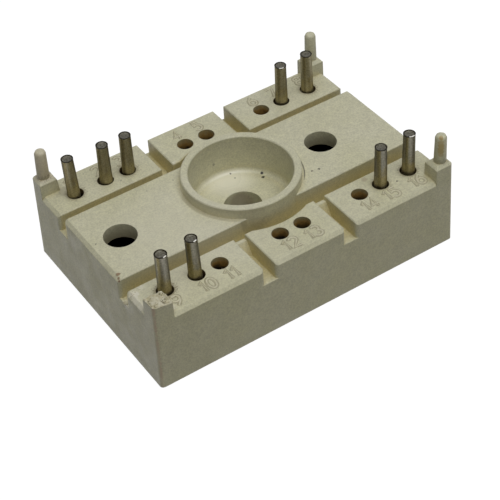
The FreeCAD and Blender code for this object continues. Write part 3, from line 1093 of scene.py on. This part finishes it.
LITTER = (
    Litter(-18.9, -12.8, 11.85, 0.9, 0.8, 20, 0.18),
    Litter(-17.25, -12.2, 9.78, 0.28, 0.3, 5, 0.13),
    Litter(-16.35, -11.4, 9.78, 0.12, 0.2, 3, 0.22),
    Litter(-19.95, -7.4, 7.55, 0.12, 0.5, 7, 0.24),
    Litter(-19.6, -8.4, 9.72, 0.4, 0.2, 6, 0.12),
    Litter(-19.2, -11.2, 9.78, 0.6, 0.35, 8, 0.11),
)


@dataclass
class TornCrumbs:
    """The small angular crumbs on and beside the break."""

    seed: int = 11
    unevenness: float = 0.45
    lump_scale: float = 1.7
    lump_spread: float = 3.0
    flatness: float = 0.7

    def build(self, snapped: Material) -> Object:
        """Build the crumbs as chips half sunk into the surface.

        Args:
            snapped: the torn surface.

        Returns:
            The piece.
        """
        chance = random.Random(self.seed)
        shape = bmesh.new()
        for patch in LITTER:
            for _ in range(patch.count):
                x = patch.x + patch.spread_x * chance.uniform(-1.0, 1.0)
                y = patch.y + patch.spread_y * chance.uniform(-1.0, 1.0)
                wide = patch.wide * chance.uniform(0.55, 1.3)
                lump = bmesh.ops.create_icosphere(shape, subdivisions=2, radius=1.0)
                offset = Vector((x, y, wide)) * self.lump_spread
                stretch = chance.uniform(0.6, 1.2)
                for point in lump["verts"]:
                    swell = 1.0 + self.unevenness * noise.noise(point.co * self.lump_scale + offset)
                    point.co.x = (x + point.co.x * wide * swell) * MM
                    point.co.y = (y + point.co.y * wide * swell * stretch) * MM
                    point.co.z = (patch.z + point.co.z * wide * self.flatness * swell) * MM
        crease(shape, 24.0)
        return finished_piece(shape, "torn_crumbs", Slot.PLASTIC, snapped)


@dataclass(frozen=True)
class Stroke:
    """One line of a numeral, in shares of the numeral's height."""

    points: tuple[tuple[float, float], ...]
    closed: bool = False


def bow(
    x: float,
    y: float,
    wide: float,
    high: float,
    start_deg: float,
    end_deg: float,
    steps: int = 10,
) -> tuple[tuple[float, float], ...]:
    """Give points along an oval's arc.

    Args:
        x: centre of the oval.
        y: centre of the oval.
        wide: half its width.
        high: half its height.
        start_deg: where the arc starts, anticlockwise from the right.
        end_deg: where it ends.
        steps: how many runs the arc has.

    Returns:
        The points.
    """
    turns = [math.radians(start_deg + (end_deg - start_deg) * i / steps) for i in range(steps + 1)]
    return tuple((x + wide * math.cos(t), y + high * math.sin(t)) for t in turns)


NUMERALS: dict[str, tuple[Stroke, ...]] = {
    "0": (Stroke(bow(0.3, 0.5, 0.28, 0.5, 0, 342, 19), True),),
    "1": (Stroke(((0.0, 0.72), (0.24, 1.0), (0.24, 0.0))),),
    "2": (Stroke(bow(0.3, 0.71, 0.28, 0.29, 165, -30, 10) + ((0.02, 0.0), (0.6, 0.0))),),
    "3": (
        Stroke(bow(0.28, 0.75, 0.26, 0.25, 150, -80, 10)),
        Stroke(bow(0.28, 0.26, 0.3, 0.26, 85, -155, 12)),
    ),
    "4": (Stroke(((0.4, 0.0), (0.4, 1.0), (0.0, 0.28), (0.6, 0.28))),),
    "5": (Stroke(((0.54, 1.0), (0.1, 1.0), (0.06, 0.56)) + bow(0.27, 0.32, 0.3, 0.32, 125, -150, 12)),),
    "6": (
        Stroke(bow(0.3, 0.31, 0.28, 0.31, 0, 340, 17), True),
        Stroke(((0.03, 0.36), (0.12, 0.66), (0.42, 1.0))),
    ),
    "7": (Stroke(((0.0, 1.0), (0.58, 1.0), (0.2, 0.0))),),
    "8": (
        Stroke(bow(0.3, 0.75, 0.24, 0.25, 0, 340, 17), True),
        Stroke(bow(0.3, 0.26, 0.29, 0.26, 0, 340, 17), True),
    ),
    "9": (
        Stroke(bow(0.3, 0.69, 0.28, 0.31, 0, 340, 17), True),
        Stroke(((0.57, 0.64), (0.48, 0.34), (0.18, 0.0))),
    ),
}


@dataclass
class PinNumbers:
    """The moulded pin numbers: thin raised ribs beside the pin holes."""

    columns: tuple[float, ...] = PIN_COLUMNS
    front_shifts: tuple[float, ...] = (0.2, 0.2, 0.15, 0.05, 0.1, -0.05, 0.0, -0.3)
    numeral_height: float = 1.62
    front_base: float = -12.88
    back_base: float = 11.28
    deck: float = 9.75
    rib_radius: float = 0.12
    rib_rise: float = 0.085
    shade_skirt_radius: float = 0.32
    shade_skirt_rise: float = 0.02
    shade_skirt_flatness: float = 0.12
    gap: float = 0.28
    one_width: float = 0.24
    usual_width: float = 0.6

    def width(self, numeral: str) -> float:
        """Give a numeral's width as a share of its height."""
        return self.one_width if numeral == "1" else self.usual_width

    def tubes(self, text: str, centre_x: float, base_y: float, radius: float, rise: float) -> Mesh:
        """Lay a tube along each stroke of one number.

        Args:
            text: the number.
            centre_x: middle of the number, in millimetres.
            base_y: foot of the number, in millimetres.
            radius: the tube's radius, in millimetres.
            rise: how far it stands out of the deck, in millimetres.

        Returns:
            The mesh, with its place in it.
        """
        line = bpy.data.curves.new("strokes", "CURVE")
        line.dimensions = "3D"
        line.bevel_depth = radius * MM
        line.bevel_resolution = 2
        line.use_fill_caps = True
        total = sum(self.width(n) for n in text) + self.gap * (len(text) - 1)
        x = centre_x - total * self.numeral_height / 2
        for numeral in text:
            for stroke in NUMERALS[numeral]:
                run = line.splines.new("POLY")
                run.points.add(len(stroke.points) - 1)
                run.use_cyclic_u = stroke.closed
                for place, (u, v) in zip(run.points, stroke.points):
                    place.co = (
                        (x + u * self.numeral_height) * MM,
                        (base_y + v * self.numeral_height) * MM,
                        (self.deck - radius + rise) * MM,
                        1.0,
                    )
            x += (self.width(numeral) + self.gap) * self.numeral_height
        holder = placed("strokes", line)
        bpy.context.view_layer.update()
        evaluated = holder.evaluated_get(bpy.context.evaluated_depsgraph_get())
        mesh = bpy.data.meshes.new_from_object(evaluated)
        bpy.data.objects.remove(holder)
        return mesh

    def build(self, plastic: Material, grime_and_shade: Material) -> list[Object]:
        """Build the sixteen numbers, eight along each long side, with grime and painted shade round their
        feet.

        Args:
            plastic: the finish of the ribs.
            grime_and_shade: the finish of the grime and painted shade in their corners.

        Returns:
            The pieces.
        """
        pieces = []
        for i, column in enumerate(self.columns):
            places = (
                (str(i + 1), column, self.back_base),
                (str(i + 9), column + self.front_shifts[i], self.front_base),
            )
            for text, x, y in places:
                shape = bmesh.new()
                shape.from_mesh(self.tubes(text, x, y, self.rib_radius, self.rib_rise))
                ribs = len(shape.faces)
                # A flat, wider tube under each rib carries grime and painted shade round its foot.
                shape.from_mesh(self.tubes(text, x, y, self.shade_skirt_radius, 0.0))
                shade_skirt = list(shape.faces)[ribs:]
                centre = (self.deck - self.shade_skirt_radius) * MM
                flat = (self.deck + self.shade_skirt_rise) * MM - self.shade_skirt_radius * self.shade_skirt_flatness * MM
                for point in {point for face in shade_skirt for point in face.verts}:
                    point.co.z = flat + (point.co.z - centre) * self.shade_skirt_flatness
                for face in shade_skirt:
                    face.material_index = 1
                crease(shape, 60.0)
                name = f"pin_number_{text}"
                pieces.append(finished_piece(shape, name, Slot.PLASTIC, plastic, grime_and_shade))
        return pieces


@dataclass(frozen=True)
class Burr:
    """A bright spot on a pin's end: its direction and its half width in degrees."""

    toward_deg: float
    half_deg: float


BURRS = {
    "pin_07": Burr(250.0, 28.0),
    "pin_09": Burr(282.0, 18.0),
    "pin_10": Burr(284.0, 16.0),
    "pin_16": Burr(262.0, 30.0),
}


@dataclass
class SolderPin:
    """A round tinned pin on its square foot, swelling downwards, with a sheared and burred tip."""

    node: Object
    neck_share: float = 0.94
    deck_share: float = 1.03
    lip_share: float = 0.975
    foot_height: float = 0.5
    lead_in: float = 1.2
    deck: float = 9.6
    neck: float = 14.87
    cut_reach: float = 0.05
    lip_start: float = 0.04
    tip_rise: float = 0.11
    rim_width: float = 0.12
    dish_inset: float = 0.05
    dish_depth: float = 0.03

    def swell(self, shape: BMesh) -> None:
        """Give the shank its taper above the deck and a lip at the tip.

        Args:
            shape: the merged pin.
        """
        axis = self.axis_points(shape)
        for level in (self.deck - self.lead_in, self.deck, self.neck):
            bmesh.ops.bisect_plane(
                shape,
                geom=list(shape.verts) + list(shape.edges) + list(shape.faces),
                plane_co=Vector((0, 0, level * MM)),
                plane_no=Vector((0, 0, 1)),
            )
        for point in shape.verts:
            level = point.co.z / MM
            if level > self.neck - self.cut_reach:
                point.co.z += self.tip_rise * MM
            if level > self.neck + self.lip_start:
                share = self.lip_share
            elif level >= self.deck - self.cut_reach:
                climb = (level - self.deck) / (self.neck - self.deck)
                share = self.deck_share + (self.neck_share - self.deck_share) * climb
            else:
                continue
            middle = axis[0] + (axis[1] - axis[0]) * ((point.co.z - axis[0].z) / (axis[1].z - axis[0].z))
            point.co.x = middle.x + (point.co.x - middle.x) * share
            point.co.y = middle.y + (point.co.y - middle.y) * share

    def axis_points(self, shape: BMesh) -> tuple[Vector, Vector]:
        """Find a low and a high point on the shank's axis.

        Args:
            shape: the merged pin.

        Returns:
            The middle of the foot's top and the middle of the tip.
        """
        tip = max(shape.faces, key=lambda face: face.calc_center_median().z)
        foot = min(shape.faces, key=lambda face: face.calc_center_median().z)
        low = foot.calc_center_bounds() + Vector((0, 0, self.foot_height * MM))
        return low, tip.calc_center_bounds()

    def build(self, tin: Material, rim: Material, end: Material, burr: Material) -> Object:
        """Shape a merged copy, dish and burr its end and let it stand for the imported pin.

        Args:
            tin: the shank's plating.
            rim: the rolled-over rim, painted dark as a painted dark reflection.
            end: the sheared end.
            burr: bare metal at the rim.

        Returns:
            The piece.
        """
        shape = merged_copy(self.node)
        self.swell(shape)
        tip = max(shape.faces, key=lambda face: face.calc_center_median().z)
        middle = tip.calc_center_median()
        band = bmesh.ops.inset_region(shape, faces=[tip], thickness=self.rim_width * MM)
        tip.material_index = 2
        spot = BURRS.get(self.node.name)
        # The side just under the tip takes the rim's painted dark finish too.
        for face in shape.faces:
            if face.calc_center_median().z > self.neck * MM and abs(face.normal.z) < 0.5:
                face.material_index = 1
        slope = bmesh.ops.inset_region(
            shape,
            faces=[tip],
            thickness=self.dish_inset * MM,
            depth=-self.dish_depth * MM,
        )
        # The rim band and the dish's slope are painted dark, except for the bright burr.
        for face in band["faces"] + slope["faces"]:
            away = face.calc_center_median() - middle
            turn = math.degrees(math.atan2(away.y, away.x)) % 360
            face.material_index = 1
            if spot and abs((turn - spot.toward_deg + 180) % 360 - 180) < spot.half_deg:
                face.material_index = 3
        crease(shape, 40.0)
        piece = finished_piece(shape, f"tinned_{self.node.name}", Slot.TIN, tin, rim, end, burr)
        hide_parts(self.node.name)
        return piece


@dataclass
class SealedCircuit:
    """The substrate, chips, ribbons and gel inside, with the copper face underneath."""

    nodes: dict[str, Object]

    def build(self) -> None:
        """Give every inner node its finish."""
        copper = ETCHED_COPPER.build()
        solder = REFLOWED_SOLDER.build()
        finishes = {
            "ceramic_substrate": FIRED_ALUMINA.build(),
            "adhesive_seal": SILICONE_BEAD.build(),
            "gel_fill": SILICONE_GEL_PAINTED_DARK.build(),
            "bottom_copper": copper,
            "track_": copper,
            "chip_solder": solder,
            "pin_solder": solder,
            "diode_": SILICON_CHIP.build(),
            "bond_ribbon_": ROLLED_ALUMINIUM.build(),
        }
        for name, node in self.nodes.items():
            for start, finish in finishes.items():
                if name.startswith(start):
                    dress(node, finish)
                    LOG.info("dressed %s", name)


@dataclass
class Studio:
    """A pale floor, an even pale surround, one large soft lamp and the camera."""

    camera_place: Vector = field(default_factory=lambda: Vector((-65.691, -110.1285, 117.1126)) * MM)
    camera_aim: Vector = field(default_factory=lambda: Vector((-3.592, -6.7494, 6.0)) * MM)
    camera_roll_deg: float = -4.1201
    lens_mm: float = 103.8585
    sensor_mm: float = 36.0
    clip_near: float = 0.005
    clip_far: float = 10.0
    floor_size: float = 1.2
    floor_drop: float = 0.02
    paper: str = "#7C7863"
    seen_paper: str = "#686868"
    white: str = "#FFFFFF"
    glow: float = 0.96
    ambient: float = 0.08
    key_direction: Vector = field(default_factory=lambda: Vector((0.03, -0.24, 1.0)))
    key_distance: float = 0.45
    key_size: float = 0.5
    key_power: float = 1.46

    def build_surround(self) -> None:
        """Make the world: white where it is seen, an even soft light for the object."""
        world = bpy.data.worlds.new("pale_surround")
        nodes = Nodes(world)
        seen = nodes.seen_rays()
        lit = nodes.add("Background", {"Color": linear(self.white), "Strength": self.ambient}).outputs[0]
        white = nodes.add("Background", {"Color": linear(self.white), "Strength": 1.0}).outputs[0]
        both = nodes.add("MixShader", {0: seen, 1: lit, 2: white}).outputs[0]
        nodes.add("OutputWorld", {"Surface": both})
        bpy.context.scene.world = world

    def build_floor(self) -> None:
        """Make the pale floor, white where it is seen but for the object's faint shadow."""
        shape = bmesh.new()
        bmesh.ops.create_grid(shape, x_segments=1, y_segments=1, size=self.floor_size / 2)
        bmesh.ops.translate(shape, verts=shape.verts, vec=Vector((0, 0, -self.floor_drop * MM)))
        floor = placed("floor", shape)
        coat = Coat("white_paper_floor", self.paper)
        coat.shade(coat.patches(0.6, 0.985, 1.0))
        plain = coat.add("BsdfDiffuse", {"Color": coat.ground}).outputs[0]
        faint = coat.add("BsdfDiffuse", {"Color": linear(self.seen_paper)}).outputs[0]
        glow = coat.add("Emission", {"Color": linear(self.white), "Strength": self.glow}).outputs[0]
        shown = coat.add("AddShader", {0: faint, 1: glow}).outputs[0]
        both = coat.add("MixShader", {0: coat.seen_rays(), 1: plain, 2: shown}).outputs[0]
        coat.add("OutputMaterial", {"Surface": both})
        dress(floor, coat.material)

    def build_lamp(self) -> None:
        """Hang the large soft lamp above the object, a little towards the front."""
        lamp = bpy.data.lights.new("soft_key", "AREA")
        lamp.shape = "DISK"
        lamp.size = self.key_size
        lamp.energy = self.key_power
        holder = placed("soft_key", lamp)
        away = self.key_direction.normalized()
        holder.rotation_mode = "QUATERNION"
        holder.rotation_quaternion = away.to_track_quat("Z", "Y")
        holder.location = away * self.key_distance

    def build_camera(self) -> None:
        """Set up the camera at the photograph's place, aim and roll."""
        camera = bpy.data.cameras.new("camera")
        camera.lens = self.lens_mm
        camera.sensor_width = self.sensor_mm
        camera.clip_start = self.clip_near
        camera.clip_end = self.clip_far
        holder = placed("camera", camera)
        look = (self.camera_aim - self.camera_place).to_track_quat("-Z", "Y")
        holder.rotation_mode = "QUATERNION"
        holder.rotation_quaternion = look @ Quaternion((0, 0, 1), math.radians(self.camera_roll_deg))
        holder.location = self.camera_place
        bpy.context.scene.camera = holder

    def build(self) -> None:
        """Build the surround, the floor, the lamp and the camera."""
        bpy.context.scene.view_settings.view_transform = "Standard"
        self.build_camera()
        self.build_surround()
        self.build_floor()
        self.build_lamp()


def main() -> None:
    """Build the module's pieces in order and report each one."""
    logging.basicConfig(level=logging.INFO, format="%(message)s")
    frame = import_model()
    nodes = frame["nodes"]
    Studio().build()
    LOG.info("studio ready")
    plastic = GlassFilledPolyester().build()
    snapped = SnappedPolyester().build()
    empty_hole = BrownedHole().build()
    flux_hole = BrownedHole("polyester_hole_fluxed_painted_shade", "#6E6244", "#5A4630", "#120C06", 8.6).build()
    housing = MouldedHousing(nodes["housing"]).build(plastic, snapped, empty_hole, flux_hole)
    LOG.info("built %s with %d faces", housing.name, len(housing.data.polygons))
    crumbs = TornCrumbs().build(snapped)
    LOG.info("built %s", crumbs.name)
    for piece in PinNumbers().build(PAINTED_LIT_RIB.build(), CORNER_GRIME_AND_SHADE.build()):
        LOG.info("built %s", piece.name)
    front_tin = AgedTin().build()
    back_tin = AgedTin("tin_plate_olive", "#98927C", "#9C9270", "#80775A").build()
    cut_end = [PAINTED_DARK_RIM.build(), SHEARED_END.build(), BARE_BURR.build()]
    for name in sorted(n for n in nodes if n.startswith("pin_") and n != "pin_solder"):
        tin = back_tin if name < "pin_09" else front_tin
        piece = SolderPin(nodes[name]).build(tin, *cut_end)
        LOG.info("built %s", piece.name)
    SealedCircuit(nodes).build()


if __name__ == "__main__":
    main()
